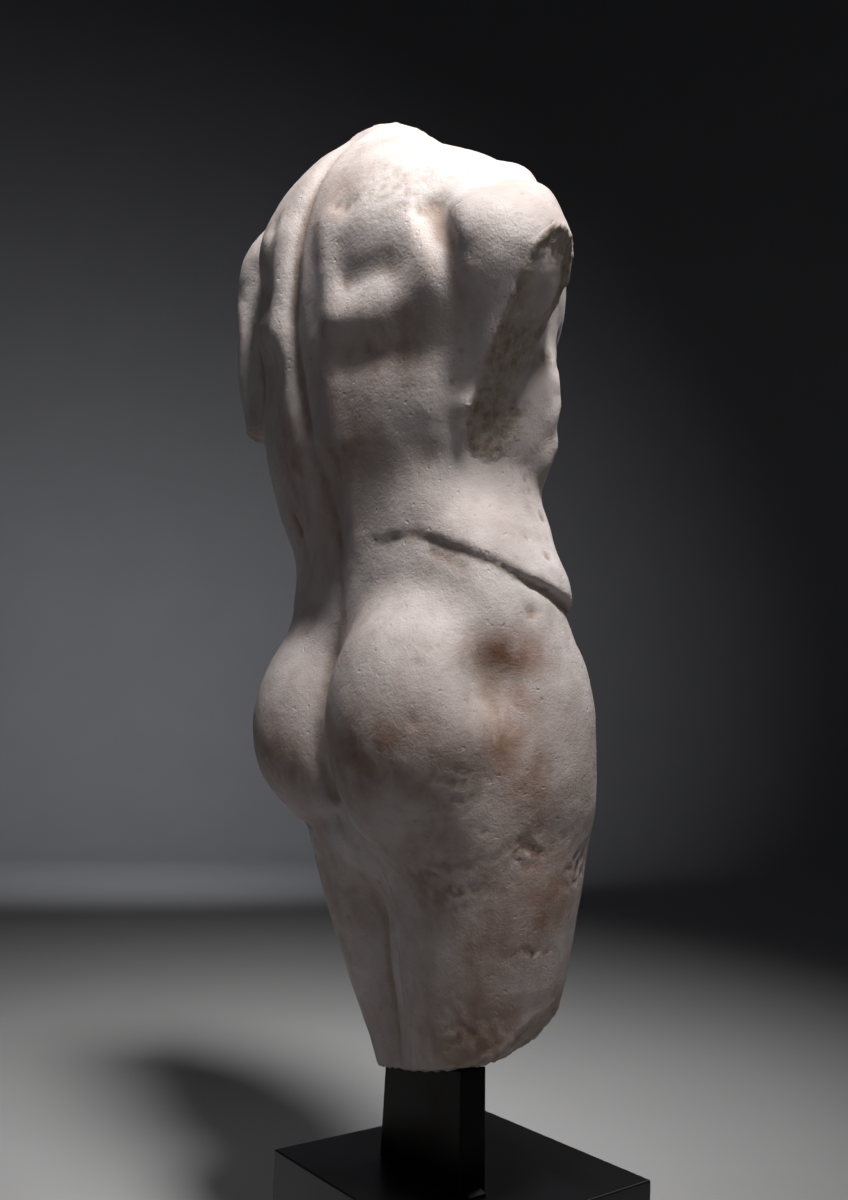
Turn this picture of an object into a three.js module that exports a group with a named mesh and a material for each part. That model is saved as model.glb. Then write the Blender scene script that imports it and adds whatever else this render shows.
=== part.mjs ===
import * as THREE from 'three';

// Marble torso on a steel post and a square block, in millimetres, +Z up.
// Origin: middle of the block's underside. The figure faces -Y, its left side is +X.

const blockSide = 234;
const blockHeight = 120;
const footWidth = 110;      // the post, where it stands on the block
const footDepth = 28;
const postTaper = 0.95;     // head of the post against its foot
const postCentre = new THREE.Vector2(-4, 34);
const joint = 0.3;          // clearance between touching pieces
const stone = new THREE.Vector3(-12, 23, 200);   // zero of the marble's own frame
const facet = 15;           // spacing of the facets on the marble
const reach = { low: [-233, -134, -22], high: [270, 220, 850] };

// Line of the body. Rows: height, centre x, centre y, tilt (rise per mm to the left), turn
const bodyLine = [
  [-30, 2, 2, 0, 0],
  [100, 0, 8, 0, 0],
  [210, -4, 20, -0.03, 0],
  [300, -3, 29, -0.05, -6],
  [380, 7, 43, -0.03, -8],
  [440, 17, 52, 0.03, -6],
  [512, 27, 59, 0.13, 0],
  [580, 26, 61, 0.2, 0],
  [650, 27, 62, 0.26, 0],
  [720, 27, 61, 0.27, 0],
  [790, 28, 57, 0.25, 0],
  [860, 34, 54, 0.15, 0],
];

// Tubes. Rows: height, centre x, centre y, half width, depth in front, depth behind, squareness
const trunk = [
  [165, 0, 0, 100, 50, 70, 2.2],
  [230, 0, 0, 144, 76, 84, 2.3],
  [300, 0, 0, 155, 86, 88, 2.3],
  [360, 0, 0, 154, 88, 80, 2.3],
  [410, 0, 0, 152, 88, 70, 2.3],
  [450, 0, 0, 148, 86, 64, 2.3],
  [490, 0, 0, 142, 88, 70, 2.3],
  [530, 0, 0, 146, 98, 82, 2.3],
  [580, 0, 0, 150, 106, 90, 2.3],
  [640, 0, 0, 150, 108, 98, 2.4],
  [700, 0, 0, 150, 102, 98, 2.4],
  [745, 0, 0, 142, 82, 90, 2.3],
  [780, 0, 0, 112, 56, 72, 2.2],
  [800, 0, 0, 66, 44, 54, 2.1],
  [816, 0, 0, 48, 42, 44, 2],
];
const rightThigh = [
  [-40, -54, 14, 42, 42, 42, 2.1],
  [20, -57, 18, 50, 52, 50, 2.1],
  [60, -60, 20, 58, 60, 58, 2.1],
  [120, -66, 24, 68, 68, 66, 2.1],
  [190, -72, 28, 75, 76, 76, 2.1],
  [260, -78, 30, 76, 78, 80, 2.1],
  [340, -80, 30, 56, 56, 56, 2.1],
];
const leftThigh = [
  [-40, 40, -16, 38, 40, 40, 2.1],
  [20, 48, -10, 48, 50, 48, 2.1],
  [60, 54, -6, 58, 60, 56, 2.1],
  [120, 60, 4, 67, 68, 66, 2.1],
  [190, 66, 14, 76, 76, 76, 2.1],
  [260, 74, 24, 76, 78, 80, 2.1],
  [340, 76, 30, 56, 56, 56, 2.1],
];
const web = [
  [-40, -4, 2, 44, 28, 28, 2.2],
  [120, -3, 14, 36, 34, 38, 2.2],
  [230, -3, 22, 34, 40, 48, 2.2],
];

// Swellings (+) and furrows (-) along a path: path, width, height.
// Those in pairs are given for the right side, around the line of the body.
const pairs = [
  // back: inner edge of the shoulder blade, its spine, the hollows and bands around it
  [[[-34, 98, 700], [-40, 97, 660], [-48, 94, 622]], 15, 4],
  [[[-72, 92, 700], [-108, 76, 704]], 27, 5],
  [[[-58, 93, 712]], 11, -3],
  [[[-62, 92, 652], [-96, 82, 662]], 13, -3],
  [[[-50, 94, 620], [-80, 84, 624], [-112, 70, 636]], 16, 4],
  [[[-55, 92, 590], [-115, 66, 598]], 18, -3.5],
  [[[-128, 58, 645], [-120, 52, 600], [-112, 50, 556]], 17, 6],
  // furrow between the back and the arm
  [[[-150, 72, 690], [-169, 66, 671]], 15, -4],
  [[[-132, 66, 704], [-152, 68, 676], [-158, 63, 643], [-153, 51, 609], [-147, 44, 575]], 12, -7],
  // columns beside the spine
  [[[-32, 88, 600], [-32, 74, 520], [-32, 62, 450]], 20, 5],
  // chest and the edge under it
  [[[-30, -92, 662], [-88, -84, 678], [-122, -52, 702]], 34, 13],
  [[[-12, -98, 630], [-66, -98, 626], [-115, -72, 655]], 9, -6],
  // belly: column, edge of the ribs, side furrow, three cross furrows, groin
  [[[-32, -90, 610], [-30, -84, 440]], 24, 6],
  [[[-16, -96, 622], [-60, -92, 582], [-104, -62, 548]], 12, -5],
  [[[-68, -82, 588], [-66, -78, 480], [-56, -82, 425]], 13, -4],
  [[[-8, -96, 582], [-58, -90, 586]], 7, -3],
  [[[-8, -92, 536], [-58, -84, 538]], 7, -3],
  [[[-8, -90, 494], [-58, -82, 494]], 7, -3],
  [[[-20, -86, 322], [-58, -84, 366]], 11, -6],
  // collar bone and the furrow in front of the shoulder
  [[[-22, -48, 782], [-112, -24, 766]], 9, 5],
  [[[-116, -62, 640], [-130, -44, 736]], 10, -7],
];
const middle = [
  [[[0, -104, 725], [0, -102, 636]], 9, -5],
  [[[0, -98, 622], [0, -88, 430]], 9, -4.5],
  [[[0, -87, 480]], 9, -6],
  [[[0, -88, 392]], 42, 6],
];
// One side only, in the marble's own frame
const single = [
  // furrow of the spine, cleft, folds under the buttocks, hollow of the hip
  [[[26, 118, 805], [34, 151, 731], [41, 160, 684], [44, 158, 642], [43, 151, 600]], 9, -9],
  [[[43, 151, 600], [38, 142, 560], [30, 127, 508], [21, 112, 462], [19, 107, 430],
    [23, 129, 350]], 15, -5],
  [[[24, 130, 350], [27, 142, 305], [28, 132, 262], [20, 108, 228]], 7, -13],
  [[[-24, 116, 214], [-60, 124, 208]], 9, -3],
  [[[-60, 110, 218], [-104, 92, 222]], 30, 7],
  [[[26, 112, 216], [70, 112, 206], [108, 84, 212]], 9, -6],
  [[[-138, 86, 324]], 28, -12],
  [[[-128, 98, 284]], 20, 4],
  [[[122, 92, 398]], 36, 10],
  // furrow between the thighs
  [[[6, 76, 186], [8, 70, 160], [15, 50, 96], [18, 32, 18]], 8, -6],
  // raised right shoulder and the dip beside the neck
  [[[-104, 62, 732], [-128, 58, 712], [-150, 58, 690]], 24, 11],
  [[[-52, 82, 782]], 30, -15],
  // right flank: edge of the chest, three ribs, hollow above the hip
  [[[-112, 20, 560], [-104, 0, 520], [-96, -10, 488]], 26, 5],
  [[[-116, -6, 590], [-112, 4, 572]], 9, 4],
  [[[-112, -6, 560], [-108, 14, 540]], 9, 4],
  [[[-106, -10, 530], [-104, 12, 508]], 9, 4],
  [[[-84, 102, 498], [-112, 64, 500], [-112, 20, 494], [-86, -20, 486]], 13, -6],
  // stretched left flank
  [[[60, -86, 370], [112, -52, 402], [146, 6, 418], [128, 62, 428]], 9, -6],
  [[[112, -40, 432], [142, 10, 446], [128, 62, 452]], 22, 6],
];

// The flesh folded over the right hip: a step along a path, proud above it and hollow below
const hipFold = {
  path: [[-80, 104, 447], [-96, 100, 436], [-110, 92, 426], [-122, 80, 416], [-138, 54, 403],
    [-140, 20, 394], [-124, -26, 386], [-92, -58, 374], [-56, -72, 352]],
  above: { width: 32, height: 7 },
  below: { width: 9, height: -4 },
  edge: 3,        // half thickness of the step
  fade: 30,       // run-out at both ends
};

// Broken faces, each a plane: the way it looks, a point on it
const armBreak = { face: [-0.812, -0.42, -0.405], at: [-170, 50, 648] };
const leftArmBreak = { face: [0.15, 0.1, -1], at: [190, 72, 581] };
const rightThighBreak = { face: [-0.45, -0.1, -1], at: [-50, 50, 22] };
const rightThighChip = { face: [-0.6, -0.3, -0.75], at: [-88, 5, 31] };
const underside = { face: [-0.2, 0, -1], at: [-46, 50, 21] };

const { sqrt, abs, max, min, exp, tanh, hypot } = Math;

// Joins two forms with a blend k wide; trim cuts one with the other
function join(a, b, k) {
  const h = min(max(0.5 + 0.5 * (b - a) / k, 0), 1);
  return b + (a - b) * h - k * h * (1 - h);
}

function trim(a, b, k) {
  return -join(-a, -b, k);
}

// Smooth curve through the rows at height z, as the values after the height
function follow(rows, z) {
  const last = rows.length - 1;
  const h = min(max(z, rows[0][0]), rows[last][0]);
  let i = 0;
  while (i < last - 1 && rows[i + 1][0] < h) i += 1;
  const slope = (j, c) => {
    const low = max(j - 1, 0);
    const high = min(j + 1, last);
    if (high - low < 2) return (rows[high][c] - rows[low][c]) / (rows[high][0] - rows[low][0]);
    const under = rows[j][0] - rows[low][0];
    const over = rows[high][0] - rows[j][0];
    const rise = (rows[high][c] - rows[j][c]) / over * under;
    return (rise + (rows[j][c] - rows[low][c]) / under * over) / (under + over);
  };
  const step = rows[i + 1][0] - rows[i][0];
  const t = (h - rows[i][0]) / step;
  const values = [];
  for (let c = 1; c < rows[i].length; c += 1) {
    const a = rows[i][c];
    const b = rows[i + 1][c];
    const bend = t * (1 - t) * (1 - t) * slope(i, c) - t * t * (1 - t) * slope(i + 1, c);
    values.push(a + (b - a) * t * t * (3 - 2 * t) + step * bend);
  }
  return values;
}

// A tube of changing section through its rows, closed at the ends with blends of their own
function tube([x, y, z], rows, lowBlend, highBlend) {
  const [cx, cy, wide, front, back, square] = follow(rows, z);
  const v = y - cy;
  const deep = front + (back - front) * (0.5 + 0.5 * tanh(v / (0.25 * wide)));
  const a = abs(x - cx) / wide;
  const b = abs(v) / deep;
  const f = (a ** square + b ** square + 1e-9) ** (1 / square);
  const pull = f ** (1 - square);
  const grade = hypot(pull * a ** (square - 1) / wide, pull * b ** (square - 1) / deep) + 1e-9;
  let d = (f - 1) / grade;
  if (lowBlend) d = trim(d, rows[0][0] - z, lowBlend);
  return highBlend ? trim(d, z - rows[rows.length - 1][0], highBlend) : d;
}

function ball([x, y, z], [cx, cy, cz], [rx, ry, rz], turn = 0) {
  const c = Math.cos(THREE.MathUtils.degToRad(turn));
  const s = Math.sin(THREE.MathUtils.degToRad(turn));
  const u = (x - cx) * c + (y - cy) * s;
  const v = (y - cy) * c - (x - cx) * s;
  const w = z - cz;
  const k = hypot(u / rx, v / ry, w / rz);
  return k * (k - 1) / (hypot(u / rx / rx, v / ry / ry, w / rz / rz) + 1e-12);
}

// Distance to a straight piece and how far along it
function along([x, y, z], a, b) {
  const d = [b[0] - a[0], b[1] - a[1], b[2] - a[2]];
  const q = [x - a[0], y - a[1], z - a[2]];
  const t = (q[0] * d[0] + q[1] * d[1] + q[2] * d[2]) / (d[0] * d[0] + d[1] * d[1] + d[2] * d[2]);
  const s = min(max(t, 0), 1);
  return [hypot(q[0] - s * d[0], q[1] - s * d[1], q[2] - s * d[2]), s];
}

function limb(p, a, b, ra, rb) {
  const [d, t] = along(p, a, b);
  return d - ra - (rb - ra) * t;
}

function swell(p, [path, width, height]) {
  let d = hypot(p[0] - path[0][0], p[1] - path[0][1], p[2] - path[0][2]);
  for (let i = 1; i < path.length; i += 1) d = min(d, along(p, path[i - 1], path[i])[0]);
  return height * exp(-d * d / width / width);
}

// A step in the surface along a path
function foldOver(p, { path, above, below, edge, fade }) {
  let near = Infinity;
  let over = 0;
  for (let i = 1; i < path.length; i += 1) {
    const [d, t] = along(p, path[i - 1], path[i]);
    if (d < near) {
      near = d;
      over = p[2] - path[i - 1][2] - (path[i][2] - path[i - 1][2]) * t;
    }
  }
  const last = path[path.length - 1];
  const start = hypot(p[0] - path[0][0], p[1] - path[0][1], p[2] - path[0][2]);
  const end = hypot(p[0] - last[0], p[1] - last[1], p[2] - last[2]);
  const high = above.height * exp(-((near / above.width) ** 2));
  const low = below.height * exp(-((near / below.width) ** 2));
  return (low + (high - low) * (0.5 + 0.5 * tanh(over / edge))) * min(start / fade, end / fade, 1);
}

function beyond([x, y, z], { face, at }) {
  const [a, b, c] = face;
  return (a * (x - at[0]) + b * (y - at[1]) + c * (z - at[2])) / hypot(a, b, c);
}

// From the marble's frame to the upright, straight body
function straighten([x, y, z]) {
  let line = follow(bodyLine, z);
  let height = z;
  for (let i = 0; i < 3; i += 1) {
    line = follow(bodyLine, height);
    height = z - line[2] * (x - line[0]);
  }
  const c = Math.cos(THREE.MathUtils.degToRad(line[3]));
  const s = Math.sin(THREE.MathUtils.degToRad(line[3]));
  return [(x - line[0]) * c + (y - line[1]) * s, (y - line[1]) * c - (x - line[0]) * s, height];
}

// Main masses: trunk, thighs, buttocks, shoulders and what is left of the arms
function masses(p, q) {
  let d = tube(q, trunk, 30, 10);
  for (const side of [-1, 1]) {
    d = join(d, limb(q, [side * 24, 8, 770], [side * 130, 12, 732], 36, 30), 24);
  }
  const thighs = join(tube(p, rightThigh, 0, 20), tube(p, leftThigh, 0, 20), 10);
  d = join(d, join(thighs, tube(p, web, 0, 20), 10), 20);
  d = join(d, ball(p, [-60, 93, 300], [84, 68, 98], -12), 20);
  d = join(d, ball(p, [78, 77, 298], [80, 68, 96], 12), 20);
  d = join(d, ball(p, [-122, 88, 634], [53, 52, 54]), 24);
  d = join(d, ball(p, [188, 74, 738], [54, 54, 62]), 22);
  const leftArm = limb(p, [190, 74, 735], [192, 70, 570], 50, 46);
  const rightArm = limb(p, [-134, 76, 636], [-112, 84, 526], 49, 22);
  d = join(d, trim(leftArm, beyond(p, leftArmBreak), 4), 8);
  return join(d, trim(rightArm, beyond(p, armBreak), 3), 8);
}

// Signed distance to the marble's surface, inside negative
function marble(p) {
  const q = straighten(p);
  let d = masses(p, q);
  for (const form of pairs) d -= swell(q, form) + swell([-q[0], q[1], q[2]], form);
  for (const form of middle) d -= swell(q, form);
  for (const form of single) d -= swell(p, form);
  d -= foldOver(p, hipFold);
  d = trim(d, beyond(p, rightThighBreak), 6);
  d = trim(d, beyond(p, rightThighChip), 5);
  return trim(d, beyond(p, underside), 4);
}

// Height of the underside above the marble's zero, at x
function seatHeight(x) {
  return underside.at[2] + underside.face[0] * (x - underside.at[0]);
}

// Slides a point along the slope of the form onto the surface, never out of its own cell
function settle(start, cell) {
  const e = 0.6;
  let p = start;
  for (let turn = 0; turn < 3; turn += 1) {
    const d = marble(p);
    const slope = p.map((_, i) => {
      const up = p.map((v, j) => (i === j ? v + e : v));
      const down = p.map((v, j) => (i === j ? v - e : v));
      return (marble(up) - marble(down)) / (2 * e);
    });
    const steep = max(slope[0] ** 2 + slope[1] ** 2 + slope[2] ** 2, 0.2);
    p = p.map((v, i) => min(max(v - d * slope[i] / steep, cell[i] + joint), cell[i] + facet - joint));
  }
  return p;
}

const axes = [[1, 0, 0], [0, 1, 0], [0, 0, 1]];

// The form's value at every point of a grid
function survey() {
  const [nx, ny, nz] = reach.low.map((v, i) => Math.ceil((reach.high[i] - v) / facet) + 1);
  const index = (i, j, k) => (i * ny + j) * nz + k;
  const at = (...step) => step.map((v, i) => reach.low[i] + v * facet);
  const value = new Float64Array(nx * ny * nz);
  const inner = [];
  for (let i = 0; i < nx; i += 1) {
    for (let j = 0; j < ny; j += 1) {
      for (let k = 0; k < nz; k += 1) {
        value[index(i, j, k)] = marble(at(i, j, k));
        if (min(i, j, k) > 0 && i < nx - 1 && j < ny - 1 && k < nz - 1) inner.push([i, j, k]);
      }
    }
  }
  return { value, inner, index, at };
}

// Where four neighbours alternate in sign, the one nearest the surface changes side
function mend({ value, inner, index }) {
  let changed = 0;
  for (const [i, j, k] of inner) {
    for (let a = 0; a < 3; a += 1) {
      const u = axes[(a + 1) % 3];
      const v = axes[(a + 2) % 3];
      const ring = [[0, 0], [1, 0], [1, 1], [0, 1]].map(([m, n]) =>
        index(i + m * u[0] + n * v[0], j + m * u[1] + n * v[1], k + m * u[2] + n * v[2]));
      const inside = ring.map((n) => value[n] < 0);
      if (inside[0] === inside[2] && inside[1] === inside[3] && inside[0] !== inside[1]) {
        const near = ring.reduce((m, n) => (abs(value[n]) < abs(value[m]) ? n : m));
        value[near] = value[near] < 0 ? joint : -joint;
        changed += 1;
      }
    }
  }
  return changed;
}

// Facets: a point in every cell the surface passes through, joined across the cells' edges
function carve() {
  const grid = survey();
  while (mend(grid));
  const { value, inner, index, at } = grid;
  const cells = new Map();
  const faces = [];
  for (const [i, j, k] of inner) {
    const here = value[index(i, j, k)];
    axes.forEach(([x, y, z], a) => {
      const there = value[index(i + x, j + y, k + z)];
      if ((here < 0) === (there < 0)) return;
      const t = here / (here - there);
      const point = at(i + t * x, j + t * y, k + t * z);
      const u = axes[(a + 1) % 3];
      const v = axes[(a + 2) % 3];
      const ring = [[1, 1], [0, 1], [0, 0], [1, 0]].map(([m, n]) => {
        const step = [i - m * u[0] - n * v[0], j - m * u[1] - n * v[1], k - m * u[2] - n * v[2]];
        const key = index(...step);
        if (!cells.has(key)) cells.set(key, { low: at(...step), sum: [0, 0, 0], count: 0 });
        const cell = cells.get(key);
        cell.sum = cell.sum.map((w, c) => w + point[c]);
        cell.count += 1;
        return cell;
      });
      faces.push(here < 0 ? ring : ring.reverse());
    });
  }
  const points = [];
  for (const cell of cells.values()) {
    const [x, y, z] = settle(cell.sum.map((w) => w / cell.count), cell.low);
    cell.order = points.length;
    points.push(new THREE.Vector3(x, y, max(z, seatHeight(x) + joint)));
  }
  const corners = [];
  for (const face of faces) {
    const [a, b, c, d] = face.map((cell) => cell.order);
    const short = points[a].distanceTo(points[c]) < points[b].distanceTo(points[d]);
    corners.push(...(short ? [a, b, c, a, c, d] : [a, b, d, b, c, d]));
  }
  const geometry = new THREE.BufferGeometry().setFromPoints(points);
  geometry.setIndex(corners);
  return geometry;
}

// A square prism from a lower to an upper rectangle
function prism(wide, deep, low, high, taper, x, y) {
  const height = high - low;
  const geometry = new THREE.BoxGeometry(wide, deep, height);
  geometry.translate(0, 0, low + height / 2);
  const corner = geometry.attributes.position;
  for (let i = 0; i < corner.count; i += 1) {
    const k = corner.getZ(i) > low + height / 2 ? taper : 1;
    corner.setXY(i, x + corner.getX(i) * k, y + corner.getY(i) * k);
  }
  return geometry;
}

function piece(name, geometry, color, roughness, metalness) {
  const mesh = new THREE.Mesh(
    geometry,
    new THREE.MeshStandardMaterial({ color, roughness, metalness }),
  );
  mesh.name = name;
  return mesh;
}

const group = new THREE.Group();
const torso = carve();
torso.translate(stone.x, stone.y, stone.z);
group.add(piece('torso', torso, '#d9cfc4', 0.6, 0));
const post = prism(
  footWidth, footDepth, blockHeight + joint, stone.z, postTaper, postCentre.x, postCentre.y,
);
const head = post.attributes.position;
for (let i = 0; i < head.count; i += 1) {
  if (head.getZ(i) > blockHeight + 1) head.setZ(i, stone.z + seatHeight(head.getX(i) - stone.x));
}
group.add(piece('post', post, '#2a2622', 0.5, 0.6));
const block = prism(blockSide, blockSide, 0, blockHeight, 1, 0, 0);
group.add(piece('base', block, '#17171a', 0.45, 0));

export default group;
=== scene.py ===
import math

import bmesh
import bpy
import numpy as np
from mathutils import Euler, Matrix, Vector, noise


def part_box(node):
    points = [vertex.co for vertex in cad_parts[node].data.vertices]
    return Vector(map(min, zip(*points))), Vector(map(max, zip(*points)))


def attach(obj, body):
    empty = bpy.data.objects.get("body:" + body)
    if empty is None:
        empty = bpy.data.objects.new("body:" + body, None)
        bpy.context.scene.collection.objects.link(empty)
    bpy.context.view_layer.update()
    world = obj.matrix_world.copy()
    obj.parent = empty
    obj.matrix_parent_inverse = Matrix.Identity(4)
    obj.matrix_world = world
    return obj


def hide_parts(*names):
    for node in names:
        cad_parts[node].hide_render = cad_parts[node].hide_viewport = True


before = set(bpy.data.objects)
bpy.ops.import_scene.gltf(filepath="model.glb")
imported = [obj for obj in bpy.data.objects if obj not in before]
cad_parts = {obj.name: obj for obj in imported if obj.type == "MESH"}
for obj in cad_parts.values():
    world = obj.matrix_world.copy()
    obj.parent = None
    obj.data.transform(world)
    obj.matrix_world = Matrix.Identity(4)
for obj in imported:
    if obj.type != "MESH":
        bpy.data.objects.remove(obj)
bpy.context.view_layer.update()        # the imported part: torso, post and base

# Marble torso of a standing man, seen from behind on its post and block.
# Lengths of the carving are in millimetres in the marble's own frame, as in the part's source:
# x to the figure's left, y to its back, z up. Blender objects are in metres.


def srgb(hexColour):
    raw = [int(hexColour[i:i + 2], 16) / 255 for i in (1, 3, 5)]
    linear = [c / 12.92 if c <= 0.04045 else ((c + 0.055) / 1.055) ** 2.4 for c in raw]
    return (*linear, 1.0)


def addNode(tree, kind, links=None, **settings):
    node = tree.nodes.new(kind)
    for name, value in settings.items():
        if hasattr(node, name):
            setattr(node, name, value)
    for socket, source in (links or {}).items():
        if isinstance(source, bpy.types.NodeSocket):
            tree.links.new(source, node.inputs[socket])
        else:
            node.inputs[socket].default_value = source
    return node


def newMaterial(name):
    material = bpy.data.materials.new(name)
    material.use_nodes = True
    tree = material.node_tree
    shader = tree.nodes["Principled BSDF"]
    return material, tree, shader


def ramp(tree, factor, stops):
    node = addNode(tree, "ShaderNodeValToRGB", {0: factor})
    bar = node.color_ramp
    while len(bar.elements) < len(stops):
        bar.elements.new(0.5)
    for element, (place, colour) in zip(bar.elements, stops):
        element.position = place
        element.color = srgb(colour) if isinstance(colour, str) else (colour, colour, colour, 1)
    return node.outputs[0]


def meshObject(name, points, faces, smooth=True):
    mesh = bpy.data.meshes.new(name)
    mesh.from_pydata(points, [], faces)
    mesh.update()
    mesh.polygons.foreach_set("use_smooth", [smooth] * len(mesh.polygons))
    piece = bpy.data.objects.new(name, mesh)
    bpy.context.scene.collection.objects.link(piece)
    return piece


torso = {
    "cell": 3.4,              # spacing of the mesh
    "coarse": 4,              # cells to one of the first survey
    "far": 30.0,              # nearer than this to the surface, the form is worked out in full
    "low": (-224, -126, -10),
    "high": (264, 212, 852),  # corners of the surveyed block
    "fromPost": (-8, -11),    # the marble's own zero, from the middle of the post
    "aboveBlock": 80,         # and above the top of the block
}

# Line of the body. Rows: height, centre x, centre y, tilt (rise per mm to the left), turn
bodyLine = [
    (-30, 2, 2, 0, 0),
    (100, 0, 8, 0, 0),
    (210, -4, 20, -0.03, 0),
    (300, -3, 29, -0.05, -6),
    (380, 7, 43, -0.03, -8),
    (440, 17, 52, 0.03, -6),
    (512, 27, 59, 0.13, 0),
    (580, 26, 61, 0.2, 0),
    (650, 27, 62, 0.26, 0),
    (720, 27, 61, 0.27, 0),
    (790, 28, 57, 0.25, 0),
    (860, 34, 54, 0.15, 0),
]

# Tubes. Rows: height, centre x, centre y, half width, depth in front, depth behind, squareness
trunk = [
    (165, 0, 0, 100, 50, 70, 2.2),
    (230, 0, 0, 144, 76, 84, 2.3),
    (300, 0, 0, 155, 86, 88, 2.3),
    (360, 0, 0, 154, 88, 80, 2.3),
    (410, 0, 0, 152, 88, 70, 2.3),
    (450, 0, 0, 148, 86, 64, 2.3),
    (490, 0, 0, 142, 88, 70, 2.3),
    (530, 0, 0, 146, 98, 82, 2.3),
    (580, 0, 0, 150, 106, 90, 2.3),
    (640, 0, 0, 150, 108, 98, 2.4),
    (700, 0, 0, 150, 102, 98, 2.4),
    (745, 0, 0, 142, 82, 90, 2.3),
    (780, 0, 0, 112, 56, 72, 2.2),
    (800, 0, 0, 66, 44, 54, 2.1),
    (816, 0, 0, 48, 42, 44, 2),
]
rightThigh = [
    (-40, -54, 14, 42, 42, 42, 2.1),
    (20, -57, 18, 50, 52, 50, 2.1),
    (60, -60, 20, 58, 60, 58, 2.1),
    (120, -66, 24, 68, 68, 66, 2.1),
    (190, -72, 28, 75, 76, 76, 2.1),
    (260, -78, 30, 76, 78, 80, 2.1),
    (340, -80, 30, 56, 56, 56, 2.1),
]
leftThigh = [
    (-40, 40, -16, 38, 40, 40, 2.1),
    (20, 48, -10, 48, 50, 48, 2.1),
    (60, 54, -6, 58, 60, 56, 2.1),
    (120, 60, 4, 67, 68, 66, 2.1),
    (190, 66, 14, 76, 76, 76, 2.1),
    (260, 74, 24, 76, 78, 80, 2.1),
    (340, 76, 30, 56, 56, 56, 2.1),
]
web = [
    (-40, -2, 2, 46, 28, 32, 2.2),
    (60, -2, 8, 42, 32, 42, 2.2),
    (120, -3, 14, 38, 34, 50, 2.2),
    (230, -3, 22, 34, 40, 58, 2.2),
]

# Rounded masses: centre, half sizes, turn, blend into the rest
lumps = [
    ((-60, 93, 300), (84, 68, 98), -12, 20),    # buttocks
    ((78, 77, 298), (80, 68, 96), 12, 20),
    ((-122, 88, 634), (53, 52, 54), 0, 24),     # back of the right armpit
    ((188, 74, 738), (54, 54, 62), 0, 22),      # left shoulder
]
# Straight masses: start, end, radius at each
shoulderBar = ((24, 8, 770), (130, 12, 732), 36, 30)    # on both sides of the body's line
leftArm = ((190, 76, 735), (188, 72, 570), 50, 42)
rightArm = ((-134, 78, 636), (-113, 84, 536), 49, 24)

# Swellings (+) and furrows (-) along a path: path, width, height.
# Those in pairs are given for the right side, around the line of the body.
pairs = [
    # inner edge of the shoulder blade, its spine, the hollows and bands around it
    ([(-34, 98, 700), (-40, 97, 660), (-48, 94, 622)], 15, 4),
    ([(-72, 92, 700), (-108, 76, 704)], 27, 5),
    ([(-58, 93, 712)], 11, -3),
    ([(-62, 92, 652), (-96, 82, 662)], 13, -3),
    ([(-50, 94, 620), (-80, 84, 624), (-112, 70, 636)], 16, 4),
    ([(-55, 92, 590), (-115, 66, 598)], 18, -3.5),
    ([(-128, 58, 645), (-120, 52, 600), (-112, 50, 556)], 17, 6),
    # furrow between the back and the arm
    ([(-150, 72, 690), (-169, 66, 671)], 15, -4),
    ([(-130, 66, 706), (-152, 68, 676), (-157, 63, 643)], 12, -3),
    # columns beside the spine
    ([(-32, 88, 600), (-32, 74, 520), (-32, 62, 450)], 20, 5),
    # chest and the edge under it
    ([(-30, -92, 662), (-88, -84, 678), (-122, -52, 702)], 34, 13),
    ([(-12, -98, 630), (-66, -98, 626), (-115, -72, 655)], 9, -6),
    # belly: column, edge of the ribs, side furrow, three cross furrows, groin
    ([(-32, -90, 610), (-30, -84, 440)], 24, 6),
    ([(-16, -96, 622), (-60, -92, 582), (-104, -62, 548)], 12, -5),
    ([(-68, -82, 588), (-66, -78, 480), (-56, -82, 425)], 13, -4),
    ([(-8, -96, 582), (-58, -90, 586)], 7, -3),
    ([(-8, -92, 536), (-58, -84, 538)], 7, -3),
    ([(-8, -90, 494), (-58, -82, 494)], 7, -3),
    ([(-20, -86, 322), (-58, -84, 366)], 11, -6),
    # collar bone and the furrow in front of the shoulder
    ([(-22, -48, 782), (-112, -24, 766)], 9, 5),
    ([(-116, -62, 640), (-130, -44, 736)], 10, -7),
]
middle = [
    ([(0, -104, 725), (0, -102, 636)], 9, -5),
    ([(0, -98, 622), (0, -88, 430)], 9, -4.5),
    ([(0, -87, 480)], 9, -6),
    ([(0, -88, 392)], 42, 6),
]
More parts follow.
